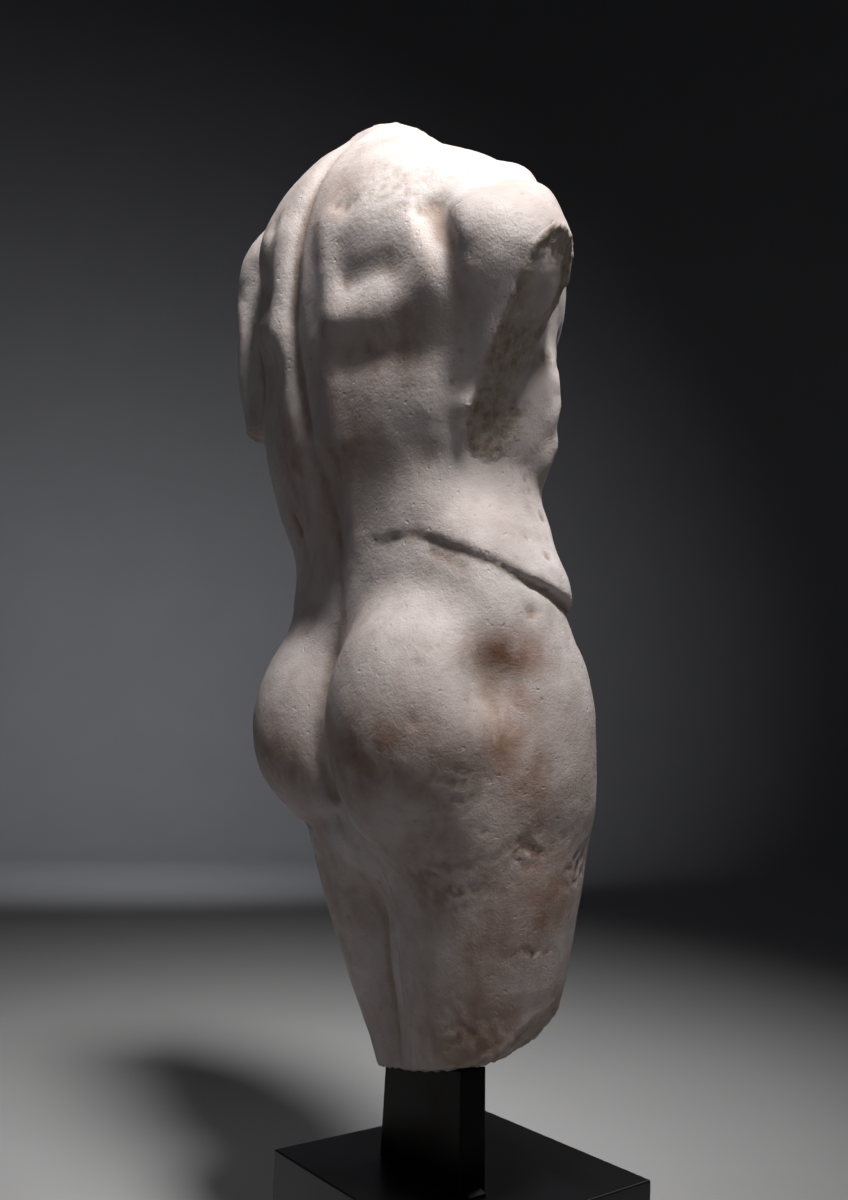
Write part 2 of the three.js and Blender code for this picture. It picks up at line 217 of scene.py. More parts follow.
# One side only, in the marble's own frame
spine = [(26, 118, 805), (34, 151, 731), (41, 160, 684), (44, 158, 642), (43, 151, 600),
         (38, 142, 560), (30, 127, 508), (21, 112, 462), (19, 107, 430), (23, 129, 360)]
single = [
    # furrow of the spine, deeper by steps towards the top
    (spine, 13, -3),
    ([*spine[:5], (37, 138, 545)], 10, -3),
    ([*spine[:3], (44, 158, 635)], 9, -3),
    # cleft, folds under the buttocks, hips and the hollow of the hip
    ([(23, 128, 352), (26, 140, 305), (27, 132, 266), (24, 116, 240)], 7, -12),
    ([(-18, 112, 212), (-56, 122, 204)], 9, -2.5),
    ([(14, 84, 208)], 26, 13),
    ([(-50, 112, 212), (-104, 92, 222)], 33, 9),
    ([(106, 112, 226)], 32, -6),
    ([(-108, 0, 450), (-134, 10, 418)], 26, 8),
    ([(-134, -6, 351), (-138, -12, 321)], 34, 6),
    ([(26, 112, 216), (70, 112, 206), (108, 84, 212)], 9, -6),
    ([(-138, 86, 324)], 28, -12),
    ([(-128, 98, 284)], 20, 4),
    ([(122, 92, 398)], 36, 10),
    # furrow between the thighs
    ([(10, 66, 140), (15, 50, 96), (18, 34, 18)], 8, -2.5),
    # furrow between the back and the right arm
    ([(-102, 127, 676), (-122, 131, 642), (-132, 127, 601), (-130, 116, 574),
      (-126, 106, 546)], 13, -7),
    # raised right shoulder and the dip beside the neck
    ([(-136, 60, 712), (-152, 62, 692)], 24, 11),
    ([(-48, 82, 786), (-84, 92, 752)], 26, -13),
    ([(-30, 50, 802)], 26, -11),
    ([(208, 112, 700), (206, 112, 640)], 30, 7),
    # right flank: edge of the chest, three ribs, hollow above the hip
    ([(-112, 20, 560), (-104, 0, 520), (-96, -10, 488)], 26, 5),
    ([(-116, -6, 590), (-112, 4, 572)], 9, 4),
    ([(-112, -6, 560), (-108, 14, 540)], 9, 4),
    ([(-106, -10, 530), (-104, 12, 508)], 9, 4),
    ([(-84, 102, 498), (-112, 64, 500), (-112, 20, 494), (-86, -20, 486)], 14, -3),
    # stretched left flank
    ([(60, -86, 370), (112, -52, 402), (146, 6, 418), (128, 62, 428)], 9, -6),
    ([(112, -40, 432), (142, 10, 446), (128, 62, 452)], 22, 6),
    ([(140, 96, 560), (134, 92, 500)], 36, 9),
]

# The flesh folded over the right hip: a step along a path, proud above it and hollow below
hipFold = {
    "path": [(-76, 108, 440), (-94, 101, 433), (-110, 92, 424), (-122, 80, 416), (-138, 54, 403),
             (-140, 20, 394), (-124, -26, 386), (-92, -58, 374), (-56, -72, 352)],
    "above": (30, 6),         # width, height
    "below": (7, -4),
    "edge": 2.2,              # half thickness of the step
    "fade": 30,               # run-out at both ends
}

# Broken faces, each a plane: the way it looks, a point on it
armBreak = ((-0.785, -0.4, -0.47), (-170, 50, 648))
leftArmBreak = ((0.15, 0.1, -1), (190, 72, 581))
rightThighBreak = ((-0.22, -0.1, -1), (-50, 50, 31))
rightThighChip = ((-0.7, -0.35, -0.65), (-95, 22, 42))
underside = ((-0.2, 0, -1), (-46, 50, 21))


def join(a, b, k):
    h = np.clip(0.5 + 0.5 * (b - a) / k, 0, 1)
    return b + (a - b) * h - k * h * (1 - h)


def trim(a, b, k):
    return -join(-a, -b, k)


def follow(rows, z):     # smooth curve through the rows at heights z
    rows = np.array(rows, float)
    heights, values = rows[:, 0], rows[:, 1:]
    gaps = np.diff(heights)[:, None]
    rise = np.diff(values, axis=0) / gaps
    slope = np.empty_like(values)
    slope[0], slope[-1] = rise[0], rise[-1]
    slope[1:-1] = (rise[:-1] * gaps[:-1] + rise[1:] * gaps[1:]) / (gaps[:-1] + gaps[1:])
    z = np.clip(z, heights[0], heights[-1])
    i = np.clip(np.searchsorted(heights, z) - 1, 0, len(heights) - 2)
    step = gaps[i]
    t = (z - heights[i])[:, None] / step
    ends = values[i] + (values[i + 1] - values[i]) * t * t * (3 - 2 * t)
    return ends + step * (t * (1 - t) ** 2 * slope[i] - t * t * (1 - t) * slope[i + 1])


def tube(p, rows, lowBlend, highBlend):
    cx, cy, wide, front, back, square = follow(rows, p[:, 2]).T
    v = p[:, 1] - cy
    deep = front + (back - front) * (0.5 + 0.5 * np.tanh(v / (0.25 * wide)))
    a = np.abs(p[:, 0] - cx) / wide
    b = np.abs(v) / deep
    f = (a ** square + b ** square + 1e-9) ** (1 / square)
    pull = f ** (1 - square)
    grade = np.hypot(pull * a ** (square - 1) / wide, pull * b ** (square - 1) / deep) + 1e-9
    d = (f - 1) / grade
    if lowBlend:
        d = trim(d, rows[0][0] - p[:, 2], lowBlend)
    return trim(d, p[:, 2] - rows[-1][0], highBlend)


def ball(p, centre, radii, turn):
    q = p - np.array(centre, float)
    c, s = math.cos(math.radians(turn)), math.sin(math.radians(turn))
    q = np.stack([q[:, 0] * c + q[:, 1] * s, q[:, 1] * c - q[:, 0] * s, q[:, 2]], 1)
    radii = np.array(radii, float)
    k = np.linalg.norm(q / radii, axis=1)
    return k * (k - 1) / (np.linalg.norm(q / radii ** 2, axis=1) + 1e-12)


def along(p, a, b):      # distance to a straight piece and how far along it
    a, b = np.array(a, float), np.array(b, float)
    t = np.clip((p - a) @ (b - a) / ((b - a) @ (b - a) + 1e-12), 0, 1)
    return np.linalg.norm(p - a - t[:, None] * (b - a), axis=1), t


def limb(p, a, b, startRadius, endRadius):
    d, t = along(p, a, b)
    return d - startRadius - (endRadius - startRadius) * t


def nearPath(p, path):
    d = along(p, path[0], path[0])[0]
    for a, b in zip(path[:-1], path[1:]):
        d = np.minimum(d, along(p, a, b)[0])
    return d


def swell(p, path, width, height):
    corners = np.array(path, float)
    near = ((p > corners.min(0) - 2.4 * width) & (p < corners.max(0) + 2.4 * width)).all(1)
    out = np.zeros(len(p))
    out[near] = height * np.exp(-(nearPath(p[near], path) / width) ** 2)
    return out


def foldOver(p, path, above, below, edge, fade):
    near = np.full(len(p), 1e9)
    over = np.zeros(len(p))
    for a, b in zip(path[:-1], path[1:]):
        d, t = along(p, a, b)
        closer = d < near
        near = np.where(closer, d, near)
        over = np.where(closer, p[:, 2] - a[2] - (b[2] - a[2]) * t, over)
    ends = np.minimum(along(p, path[0], path[0])[0], along(p, path[-1], path[-1])[0])
    high = above[1] * np.exp(-(near / above[0]) ** 2)
    low = below[1] * np.exp(-(near / below[0]) ** 2)
    return (low + (high - low) * (0.5 + 0.5 * np.tanh(over / edge))) * np.clip(ends / fade, 0, 1)


def beyond(p, plane):
    face, at = np.array(plane[0], float), np.array(plane[1], float)
    return (p - at) @ face / np.linalg.norm(face)


def straighten(p):       # from the marble's frame to the upright, straight body
    height = p[:, 2]
    for _ in range(3):
        line = follow(bodyLine, height)
        height = p[:, 2] - line[:, 2] * (p[:, 0] - line[:, 0])
    c, s = np.cos(np.radians(line[:, 3])), np.sin(np.radians(line[:, 3]))
    x, y = p[:, 0] - line[:, 0], p[:, 1] - line[:, 1]
    return np.stack([x * c + y * s, y * c - x * s, height], 1)


def masses(p, q):
    d = tube(q, trunk, 30, 10)
    for way in (-1, 1):
        d = join(d, limb(q * (way, 1, 1), *shoulderBar), 24)
    right = trim(tube(p, rightThigh, 0, 20), beyond(p, rightThighBreak), 4)
    right = trim(right, beyond(p, rightThighChip), 3)
    thighs = join(right, tube(p, leftThigh, 0, 20), 24)
    d = join(d, join(thighs, tube(p, web, 0, 20), 14), 20)
    for centre, radii, turn, blend in lumps:
        d = join(d, ball(p, centre, radii, turn), blend)
    d = join(d, trim(limb(p, *leftArm), beyond(p, leftArmBreak), 4), 8)
    return join(d, trim(limb(p, *rightArm), beyond(p, armBreak), 1.5), 8)


def marbleForm(p):       # signed distance to the surface, inside negative
    q = straighten(p)
    d = masses(p, q)
    for path, width, height in pairs:
        mirrored = [(-x, y, z) for x, y, z in path]
        d = d - swell(q, path, width, height) - swell(q, mirrored, width, height)
    for path, width, height in middle:
        d = d - swell(q, path, width, height)
    for path, width, height in single:
        d = d - swell(p, path, width, height)
    d = d - foldOver(p, **hipFold)
    return trim(d, beyond(p, underside), 4)


def surveyForm():        # the form on a grid, coarse first, fine only near the surface
    cell, low, coarse = torso["cell"], np.array(torso["low"], float), torso["coarse"]
    counts = np.ceil((np.array(torso["high"]) - low) / cell / coarse).astype(int) * coarse + 1
    lines = [low[i] + cell * np.arange(0, counts[i], coarse) for i in range(3)]
    places = np.stack(np.meshgrid(*lines, indexing="ij"), -1)
    value = marbleForm(places.reshape(-1, 3)).reshape(places.shape[:3])
    for axis in range(3):
        value = value.repeat(coarse, axis=axis)
        value = np.take(value, np.arange(counts[axis]) + coarse // 2, axis=axis, mode="clip")
    near = np.argwhere(np.abs(value) < torso["far"])
    for part in np.array_split(near, max(1, len(near) // 250000)):
        value[tuple(part.T)] = marbleForm(low + cell * part)
    return value, low, cell


def netOver(value, low, cell):   # a point in every cell the surface passes, joined across edges
    sums = np.zeros((*(n - 1 for n in value.shape), 3))
    counts = np.zeros(sums.shape[:3])
    crossings = []
    for axis in range(3):
        here = value.take(range(value.shape[axis] - 1), axis)
        there = value.take(range(1, value.shape[axis]), axis)
        crossed = (here < 0) != (there < 0)
        index = np.argwhere(crossed)
        point = index.astype(float)
        point[:, axis] += here[crossed] / (here[crossed] - there[crossed])
        u, v = [(axis + 1) % 3, (axis + 2) % 3]
        ring = []
        for du, dv in ((1, 1), (0, 1), (0, 0), (1, 0)):
            corner = index.copy()
            corner[:, u] -= du
            corner[:, v] -= dv
            ring.append(corner)
            np.add.at(sums, tuple(corner.T), point)
            np.add.at(counts, tuple(corner.T), 1)
        crossings.append((ring, here[crossed] < 0))
    used = counts > 0
    order = np.full(counts.shape, -1)
    order[used] = np.arange(used.sum())
    points = low + cell * sums[used] / counts[used][:, None]
    faces = []
    for ring, outward in crossings:
        quad = np.stack([order[tuple(corner.T)] for corner in ring], 1)
        quad[~outward] = quad[~outward][:, ::-1]
        faces.append(quad)
    return points, np.concatenate(faces)


def slopeOf(points, reach=0.8):
    step = np.eye(3) * reach
    return np.stack([marbleForm(points + s) - marbleForm(points - s) for s in step], 1) / (2 * reach)


value, low, cell = surveyForm()
points, quads = netOver(value, low, cell)
slope = slopeOf(points)
steep = np.maximum((slope ** 2).sum(1), 0.2)
points = points - np.clip(marbleForm(points) / steep, -4, 4)[:, None] * slope
normals = slope / np.linalg.norm(slope, axis=1)[:, None]
print("torso net", len(points), "points", len(quads), "faces")

# How the surface has fared: breaks, wear, pits and scars, in millimetres
wear = {
    "seed": 11,
    "breakDepth": 3.2,        # roughness of the broken faces
    "breakReach": 3.5,        # how near its plane a face counts as broken
    "splinterSizes": (17, 8),
    "crumbleSize": 13,
    "waveHeight": 0.7,        # slow unevenness of the hand-worked surface, and its size
    "waveSize": 46,
    "rippleHeight": 0.25,     # the finer unevenness on it
    "rippleSize": 11,
    "crustSize": 7,           # grain of the eroded patches
    "pitCount": 260,
    "pitWidth": (2.2, 3.6),
    "pitDepth": (0.3, 0.9),
    # single pits and chips: place, width, depth
    "chips": [
        ((-118, 139, 294), 5.5, 3.0),
        ((-114, 141, 288), 3.5, 2.4),
        ((-59, 147, 293), 4.5, 1.8),
        ((-56, 128, 485), 4.5, 1.6),
        ((-30, 138, 492), 3.6, 1.4),
        ((40, 158, 700), 3.5, 1.5),
        ((-18, 156, 700), 4.0, 1.2),
        ((-147, 57, 379), 6.0, 1.6),
        ((-157, 40, 385), 5.0, 1.4),
        ((-112, 110, 416), 4.0, 1.2),
        ((-110, 18, 460), 6.0, 2.4),
        ((-135, 33, 423), 5.0, 2.0),
        ((96, 112, 470), 6.0, 2.2),
    ],
    # eroded patches: centre, reach, depth
    "patches": [
        ((-145, 55, 205), (13, 15, 13), 2.2),
        ((-140, -2, 192), (12, 18, 18), 2.0),
        ((-134, 37, 128), (20, 22, 7), 1.2),
        ((-112, 106, 250), (40, 24, 22), 0.9),
        ((-100, 90, 180), (40, 30, 22), 0.9),
        ((-60, 130, 690), (40, 24, 30), 0.7),
        ((-107, 60, 60), (40, 24, 30), 1.0),
    ],
    # where the arm stood against the flank: centre, reach
    "roughPatches": [
        ((-120, 72, 526), (26, 24, 24)),
        ((-114, 76, 508), (20, 18, 14)),
    ],
    # gouges: path, width, depth
    "gouges": [
        ([(150, 98, 553), (140, 104, 538), (146, 100, 522), (136, 105, 506)], 3.6, 2.6),
        ([(138, 104, 548), (128, 110, 536)], 3.2, 2.0),
        ([(112, 112, 500), (100, 114, 484), (94, 116, 470)], 3.2, 1.8),
        ([(-120, 100, 408), (-96, 112, 422)], 3.0, 1.0),
    ],
}


def noiseAt(places, size, octaves=3, seed=0):   # fractal noise in about -1 to 1, size in mm
    shift = Vector((seed * 3.1, seed * 1.7, seed * 2.3))
    return np.array([noise.fractal(Vector(p) / size + shift, 1, 2, octaves) for p in places])


def facetsAt(places, size, seed=0):             # flat splinters with ridges between them
    shift = Vector((seed * 3.1, seed * 1.7, seed * 2.3))
    out = []
    for p in places:
        distances, _ = noise.voronoi(Vector(p) / size + shift)
        out.append(distances[1] - distances[0])
    return np.array(out)


def ease(value, low, high):
    t = np.clip((value - low) / (high - low), 0, 1)
    return t * t * (3 - 2 * t)


def softBall(places, centre, reach):
    return np.exp(-(((places - np.array(centre, float)) / np.array(reach, float)) ** 2).sum(1))


def brokenMask():
    mask = np.zeros(len(points))
    for plane in (armBreak, leftArmBreak, rightThighBreak, rightThighChip, underside):
        face = np.array(plane[0], float) / np.linalg.norm(plane[0])
        close = np.exp(-(beyond(points, plane) / wear["breakReach"]) ** 2)
        mask = np.maximum(mask, close * ease(normals @ face, 0.6, 0.85))
    for centre, reach in wear["roughPatches"]:
        mask = np.maximum(mask, ease(softBall(points, centre, reach), 0.3, 0.55))
    neck = ease(straighten(points)[:, 2], 800, 812) * ease(normals[:, 2], 0.6, 0.9)
    return np.maximum(mask, neck)


broken = brokenMask()
rough = np.flatnonzero(broken > 0.02)
largeSplinter, smallSplinter = wear["splinterSizes"]
splinters = facetsAt(points[rough], largeSplinter, 1) - 0.35
splinters += 0.5 * facetsAt(points[rough], smallSplinter, 2)
crumble = noiseAt(points[rough], wear["crumbleSize"], 4, 5)
relief = np.zeros(len(points))
relief[rough] = -wear["breakDepth"] * broken[rough] * (0.8 * splinters + 0.9 * np.abs(crumble))
relief += wear["waveHeight"] * noiseAt(points, wear["waveSize"], 2, 3) * (1 - broken)
relief += wear["rippleHeight"] * noiseAt(points, wear["rippleSize"], 2, 8) * (1 - broken)

pitted = np.zeros(len(points))
for centre, reach, depth in wear["patches"]:
    patch = softBall(points, centre, reach)
    inside = np.flatnonzero(patch > 0.03)
    eaten = ease(noiseAt(points[inside], wear["crustSize"], 3, 6), -0.1, 0.35) * patch[inside]
    relief[inside] -= depth * eaten
    pitted[inside] = np.maximum(pitted[inside], eaten)

random = np.random.default_rng(wear["seed"])
spots = points[random.choice(len(points), wear["pitCount"], replace=False)]
pits = [(spot, random.uniform(*wear["pitWidth"]), random.uniform(*wear["pitDepth"]))
        for spot in spots]
for place, width, depth in pits + wear["chips"]:
    d = np.linalg.norm(points - np.array(place, float), axis=1) / width
    near = np.flatnonzero(d < 2.2)
    shape = np.exp(-(d[near] ** 3))
    relief[near] -= depth * shape
    pitted[near] = np.maximum(pitted[near], shape * min(depth / 3, 1))
for path, width, depth in wear["gouges"]:
    shape = np.exp(-(nearPath(points, path) / width) ** 2)
    relief -= depth * shape
    pitted = np.maximum(pitted, shape)
print("relief", round(float(relief.min()), 2), "to", round(float(relief.max()), 2), "mm")



def boxOf(node):         # corners in millimetres
    return [np.array(corner) * 1000 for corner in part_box(node)]


stoneZero = np.mean(boxOf("post"), axis=0)
stoneZero[:2] += torso["fromPost"]
stoneZero[2] = boxOf("base")[1][2] + torso["aboveBlock"]
print("marble's zero at", stoneZero.round(3).tolist(), "mm")
boxLow, boxHigh = boxOf("torso")
points = points + relief[:, None] * normals
points = np.clip(points + stoneZero, boxLow - (3, 3, 0), boxHigh + 3)


def neighbourMean(values, rounds):
    edges = np.concatenate([quads[:, [i, (i + 1) % 4]] for i in range(4)])
    count = np.bincount(edges[:, 0], minlength=len(points)).astype(float)
    count += np.bincount(edges[:, 1], minlength=len(points))
    for _ in range(rounds):
        total = np.zeros_like(values)
        for axis in range(values.shape[1]):
            total[:, axis] += np.bincount(edges[:, 0], values[edges[:, 1], axis], len(points))
            total[:, axis] += np.bincount(edges[:, 1], values[edges[:, 0], axis], len(points))
        values = total / count[:, None]
    return values


bend = ((neighbourMean(points, 14) - points) * normals).sum(1)      # above 0 in hollows
fineBend = ((neighbourMean(points, 2) - points) * normals).sum(1)
# how far each point lies in a furrow or hollow; below, the marble is darkened there, as dirt and as
# painted shade
hollow = np.clip(ease(bend, 0.15, 2.2) + 0.6 * ease(fineBend, 0.08, 0.6), 0, 1)

# Brown patina lies where damp ran down and sat. Rows: centre, reach, strength
patinaPlaces = [
    ((-64, 137, 577), (44, 40, 34), 0.55),
    ((-20, 150, 545), (40, 40, 50), 0.35),
    ((71, 139, 523), (40, 40, 60), 0.5),
    ((112, 145, 640), (40, 40, 70), 0.3),
    ((-21, 138, 511), (40, 40, 40), 0.5),
    ((-13, 160, 706), (30, 30, 30), 0.35),
    ((20, 130, 470), (40, 40, 40), 0.45),
    ((72, 141, 262), (50, 50, 34), 0.6),
    ((-91, 157, 268), (46, 40, 34), 0.75),
    ((-40, 150, 262), (40, 40, 34), 0.55),
    ((-120, 120, 270), (40, 50, 40), 0.6),
    ((-141, 76, 346), (26, 30, 22), 0.85),
    ((-146, 78, 290), (14, 26, 60), 0.75),
    ((-150, 60, 250), (24, 30, 40), 0.6),
    ((-110, 103, 180), (60, 40, 60), 0.6),
    ((-65, 118, 190), (30, 30, 40), 0.4),
    ((-127, 61, 133), (50, 40, 50), 0.6),
    ((-107, 60, 71), (60, 40, 50), 0.7),
    ((-144, 28, 169), (30, 40, 50), 0.7),
    ((95, 112, 480), (30, 30, 40), 0.35),
    ((0, -80, 480), (110, 60, 120), 0.35),
    ((60, -70, 200), (80, 60, 90), 0.5),
    ((-70, -50, 140), (70, 60, 90), 0.5),
]
# and a thin veil of brown all round the lower part, thickening between two heights: partly patina,
# partly painted shade that darkens the lower body
lowerPatinaAndShade = {"strength": 0.3, "from": 620, "to": 330, "size": 70}
patinaAndLowShade = lowerPatinaAndShade["strength"] * ease(-points[:, 2], -lowerPatinaAndShade["from"], -lowerPatinaAndShade["to"])
patinaAndLowShade *= ease(noiseAt(points, lowerPatinaAndShade["size"], 2, 9), -0.5, 0.3)
for centre, reach, strength in patinaPlaces:
    patinaAndLowShade = np.maximum(patinaAndLowShade, strength * softBall(points - stoneZero, centre, reach))

stone = meshObject("marble_torso", (points / 1000).tolist(), quads.tolist())
masks = {"broken": broken, "hollow": hollow, "patinaAndLowShade": patinaAndLowShade, "pitted": pitted}
for name, values in masks.items():
    layer = stone.data.attributes.new(name, "FLOAT", "POINT")
    layer.data.foreach_set("value", values.astype(np.float32))
print("torso", len(stone.data.polygons) * 2, "triangles")


# fine-grained marble, once polished, now dull, pitted and stained
def weatheredMarble():
    material, tree, shader = newMaterial("weathered_marble")
    place = addNode(tree, "ShaderNodeTexCoord").outputs["Object"]
    mask = {name: addNode(tree, "ShaderNodeAttribute", attribute_name=name).outputs["Fac"]
            for name in masks}

    def speckle(size, detail=4.0, distort=0.0, roughness=0.55):   # size in metres
        return addNode(tree, "ShaderNodeTexNoise", {
            "Vector": place, "Scale": 1 / size, "Detail": detail,
            "Roughness": roughness, "Distortion": distort,
        }).outputs["Fac"]

    def calc(operation, a, b=0.0, c=0.0):
        return addNode(tree, "ShaderNodeMath", {0: a, 1: b, 2: c}, operation=operation,
                       use_clamp=operation != "SUBTRACT").outputs[0]

    def blend(factor, a, b, kind="MIX"):
        node = addNode(tree, "ShaderNodeMix", data_type="RGBA", blend_type=kind)
        for socket, source in ((0, factor), (6, a), (7, b)):
            if isinstance(source, bpy.types.NodeSocket):
                tree.links.new(source, node.inputs[socket])
            elif isinstance(source, str):
                node.inputs[socket].default_value = srgb(source)
            else:
                node.inputs[socket].default_value = source
        return node.outputs[2]

    # ground: warm white, clouded at hand size
    cloud = speckle(0.09, 5, 0.4)
    colour = ramp(tree, cloud, [(0.3, "#bdb0ac"), (0.52, "#cbc1be"), (0.75, "#d8d0cd")])
    # mottling at finger size, greyer
    colour = blend(ramp(tree, speckle(0.018, 6), [(0.45, 0.0), (0.72, 0.45)]), colour, "#a89890")
    # brown patina with broken edges, strongest where the map says; towards the bottom the map also
    # holds painted shade
    edge = ramp(tree, speckle(0.035, 8, 0.6, 0.65), [(0.3, 0.25), (0.62, 1.0)])
    edge = calc("MULTIPLY", edge, mask["patinaAndLowShade"])
    colour = blend(calc("MULTIPLY", edge, 1.25), colour, "#8a644c")
    # runs of it, about 17 mm apart and six times as long
    streak = addNode(tree, "ShaderNodeMapping", {"Vector": place, "Scale": (1, 1, 0.16)}).outputs[0]
    runs = addNode(tree, "ShaderNodeTexNoise", {
        "Vector": streak, "Scale": 60.0, "Detail": 3.0}).outputs["Fac"]
    runs = calc("MULTIPLY", ramp(tree, runs, [(0.5, 0.0), (0.68, 0.6)]), mask["patinaAndLowShade"])
    colour = blend(runs, colour, "#7c5640")
    # earth left in furrows and pits, with painted shade laid into the furrows and hollows as well
    colour = blend(calc("MULTIPLY", mask["hollow"], 0.6), colour, "#8d735f")
    colour = blend(calc("MULTIPLY", mask["pitted"], 0.55), colour, "#8a6c56")
    # fresher stone on the breaks, with tan edges
    grit = speckle(0.012, 6, 0, 0.7)
    fresh = ramp(tree, grit, [(0.35, "#a58c78"), (0.5, "#c9b8aa"), (0.7, "#e2d8d0")])
    colour = blend(calc("MULTIPLY", mask["broken"], 0.9), colour, fresh)
    # small dark specks and rust dots
    specks = ramp(tree, speckle(0.0032, 2, 0, 0.5), [(0.70, 0.0), (0.78, 0.55)])
    colour = blend(specks, colour, "#7d6250")
    tree.links.new(colour, shader.inputs["Base Color"])

    # dull where rough and dirty, with a faint sheen on the worn heights
    sheen = ramp(tree, speckle(0.03, 4), [(0.3, 0.5), (0.7, 0.66)])
    dull = calc("MULTIPLY_ADD", mask["broken"], 0.25, sheen)
    tree.links.new(dull, shader.inputs["Roughness"])
    shader.inputs["IOR"].default_value = 1.5
    shader.inputs["Specular IOR Level"].default_value = 0.35

    # tool and weather marks: waves and small holes about 9 mm apart, 3.5 mm lumps, and crystals
    # drawn at 1.6 mm, four times the real size, so that they show
    waves = speckle(0.009, 3)
    drift = addNode(tree, "ShaderNodeTexNoise", {"Vector": place, "Scale": 190.0}).outputs["Color"]
    warped = addNode(tree, "ShaderNodeVectorMath", {
        0: drift, 1: (0.006,) * 3, 2: place}, operation="MULTIPLY_ADD").outputs[0]
    cells = addNode(tree, "ShaderNodeTexVoronoi", {
        "Vector": warped, "Scale": 1 / 0.009, "Randomness": 1.0}).outputs["Distance"]
    holes = ramp(tree, cells, [(0.06, 0.0), (0.2, 1.0)])
    some = ramp(tree, speckle(0.03, 3), [(0.46, 1.0), (0.6, 0.0)])
    holes = calc("MAXIMUM", holes, some)
    sugar = speckle(0.0035, 3, 0.3, 0.6)
    grain = speckle(0.0016, 3, 0, 0.7)
    crumbs = speckle(0.005, 6, 0.5, 0.75)
    torn = calc("MULTIPLY", crumbs, mask["broken"])
    # pattern, depth in metres, strength
    marks = [(waves, 0.0008, 0.4), (holes, 0.0009, 0.5), (sugar, 0.0009, 0.5),
             (grain, 0.0006, 0.6), (torn, 0.004, 0.9)]
    surface = None
    for height, distance, strength in marks:
        links = {"Height": height, "Distance": distance, "Strength": strength}
        if surface:
            links["Normal"] = surface
        surface = addNode(tree, "ShaderNodeBump", links).outputs[0]
    tree.links.new(surface, shader.inputs["Normal"])
    return material


stone.data.materials.append(weatheredMarble())
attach(stone, "root")
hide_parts("torso")


plain = {"postEdge": 0.0012, "blockEdge": 0.0015, "segments": 3}    # eased edges, metres


def roundedCopy(nodeName, name, radius):   # a copy of a plain solid with eased edges
    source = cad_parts[nodeName]
    shell = bmesh.new()
    shell.from_mesh(source.data)
    bmesh.ops.remove_doubles(shell, verts=shell.verts, dist=1e-6)
    bmesh.ops.dissolve_limit(shell, angle_limit=0.02, verts=shell.verts, edges=shell.edges)
    bmesh.ops.bevel(shell, geom=shell.edges[:], offset=radius, segments=plain["segments"],
                    profile=0.5, affect="EDGES")
    bmesh.ops.recalc_face_normals(shell, faces=shell.faces)
    mesh = bpy.data.meshes.new(name)
    shell.to_mesh(mesh)
    shell.free()
    mesh.polygons.foreach_set("use_smooth", [True] * len(mesh.polygons))
    piece = bpy.data.objects.new(name, mesh)
    bpy.context.scene.collection.objects.link(piece)
    keep = piece.modifiers.new("flats", "WEIGHTED_NORMAL")
    keep.keep_sharp = True
    return piece


# mild steel bar, blackened chemically and waxed: dark, satin, browner where rubbed
def bronzedSteel():
    material, tree, shader = newMaterial("bronzed_steel")
    place = addNode(tree, "ShaderNodeTexCoord").outputs["Object"]
    cloud = addNode(tree, "ShaderNodeTexNoise", {
        "Vector": place, "Scale": 22.0, "Detail": 5.0}).outputs["Fac"]       # 45 mm clouds
    colour = ramp(tree, cloud, [(0.3, "#0e0c0b"), (0.55, "#15110e"), (0.8, "#211812")])
    tree.links.new(colour, shader.inputs["Base Color"])
    brushed = addNode(tree, "ShaderNodeMapping", {"Vector": place, "Scale": (1, 1, 0.04)}).outputs[0]
    lines = addNode(tree, "ShaderNodeTexNoise", {
        "Vector": brushed, "Scale": 900.0, "Detail": 2.0}).outputs["Fac"]    # brush lines, 1.1 mm
    tree.links.new(ramp(tree, cloud, [(0.3, 0.34), (0.75, 0.5)]), shader.inputs["Roughness"])
    surface = addNode(tree, "ShaderNodeBump", {
        "Height": lines, "Distance": 0.0002, "Strength": 0.25}).outputs[0]
    tree.links.new(surface, shader.inputs["Normal"])
    shader.inputs["Metallic"].default_value = 0.7
    return material


# wooden block, sprayed black and rubbed: satin with a little orange peel
def blackLacquer():
    material, tree, shader = newMaterial("black_lacquer")
    place = addNode(tree, "ShaderNodeTexCoord").outputs["Object"]
    dust = addNode(tree, "ShaderNodeTexNoise", {
        "Vector": place, "Scale": 9.0, "Detail": 6.0}).outputs["Fac"]        # 110 mm clouds
    tree.links.new(ramp(tree, dust, [(0.35, "#0b0b0d"), (0.7, "#101013")]), shader.inputs["Base Color"])
    tree.links.new(ramp(tree, dust, [(0.3, 0.34), (0.75, 0.46)]), shader.inputs["Roughness"])
    peel = addNode(tree, "ShaderNodeTexNoise", {
        "Vector": place, "Scale": 420.0, "Detail": 1.0}).outputs["Fac"]      # peel, 2.4 mm
    surface = addNode(tree, "ShaderNodeBump", {
        "Height": peel, "Distance": 0.0002, "Strength": 0.12}).outputs[0]
    tree.links.new(surface, shader.inputs["Normal"])
    shader.inputs["IOR"].default_value = 1.5
    return material


steel = bronzedSteel()
post = roundedCopy("post", "post_bar", plain["postEdge"])
post.data.materials.append(steel)
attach(post, "root")
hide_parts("post")

block = roundedCopy("base", "plinth_block", plain["blockEdge"])
block.data.materials.append(blackLacquer())
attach(block, "root")
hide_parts("base")

# A small wedge that keys the foot of the post to the block
cleat = {"length": 0.018, "depth": 0.007, "height": 0.005, "edge": 0.0008}


